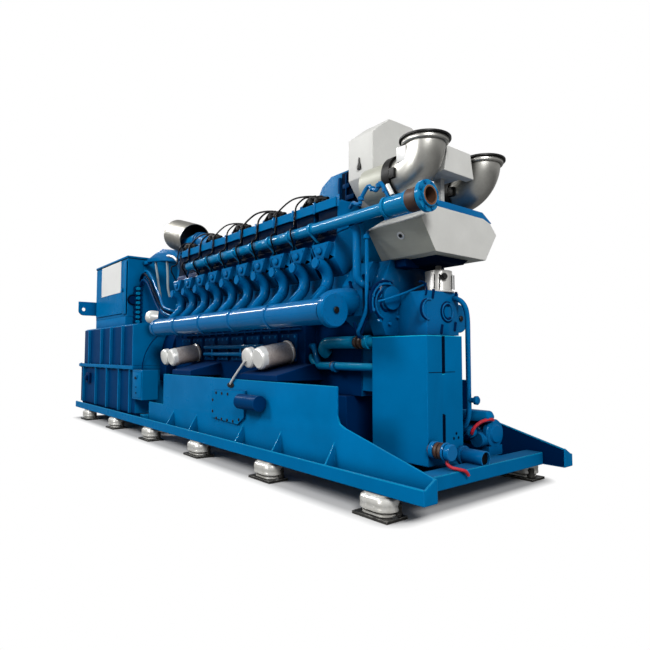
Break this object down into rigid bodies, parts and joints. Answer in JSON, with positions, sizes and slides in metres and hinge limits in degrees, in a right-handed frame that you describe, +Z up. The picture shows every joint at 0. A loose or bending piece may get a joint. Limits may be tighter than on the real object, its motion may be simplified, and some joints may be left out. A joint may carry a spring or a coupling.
{
  "type": "gas generator set",
  "caption": "Blue gas generator set: a long V engine coupled to a ribbed alternator on one welded base frame with anti-vibration mounts.",
  "frame": {"origin": "centre of the footprint, on the floor", "axes": "+X along the set from the alternator to the free end of the engine, +Y to the far bank, +Z up"},
  "size_m": [6.18, 1.535, 2.459],
  "materials": {
    "blue_paint": "semi-gloss",
    "dark_blue_paint": "semi-gloss",
    "bright_steel": "satin",
    "shield_panel": "satin",
    "zinc_mount": "rough cast",
    "dark_plate": "matte",
    "black_plastic": "matte"
  },
  "bodies": {
    "root": {"near_side_rail": "blue_paint", "far_side_rail": "blue_paint", "frame_crossmembers": "blue_paint", "mount_plates": "dark_plate", "mount_bells": "zinc_mount", "alternator_lower_housing": "blue_paint", "alternator_joint_flange": "blue_paint", "alternator_upper_housing": "blue_paint", "terminal_box": "blue_paint", "terminal_box_door": "blue_paint", "junction_box": "blue_paint", "lifting_lugs": "blue_paint", "cable_glands": "dark_blue_paint", "flywheel_housing": "dark_blue_paint", "crankcase": "blue_paint", "oil_sump": "dark_blue_paint", "crankcase_covers": "blue_paint", "near_cylinder_heads": "blue_paint", "far_cylinder_heads": "blue_paint", "near_rocker_covers": "blue_paint", "far_rocker_covers": "blue_paint", "near_intake_runners": "blue_paint", "far_intake_runners": "blue_paint", "near_receiver": "blue_paint", "far_receiver": "blue_paint", "near_coolant_pipe": "blue_paint", "far_coolant_pipe": "blue_paint", "near_coil_rail": "blue_paint", "far_coil_rail": "blue_paint", "coil_packs": "black_plastic", "exhaust_cover": "blue_paint", "exhaust_box": "shield_panel", "exhaust_elbows": "bright_steel", "heat_shield": "shield_panel", "cooler_housing": "shield_panel", "gear_case": "blue_paint", "gear_case_covers": "blue_paint", "gas_mixer": "bright_steel", "tank_module": "blue_paint", "tank_connections": "blue_paint", "pump_set": "blue_paint", "oil_filters": "bright_steel", "oil_pipes": "blue_paint", "heater": "blue_paint", "air_drum": "bright_steel"}
  },
  "joints": []
}
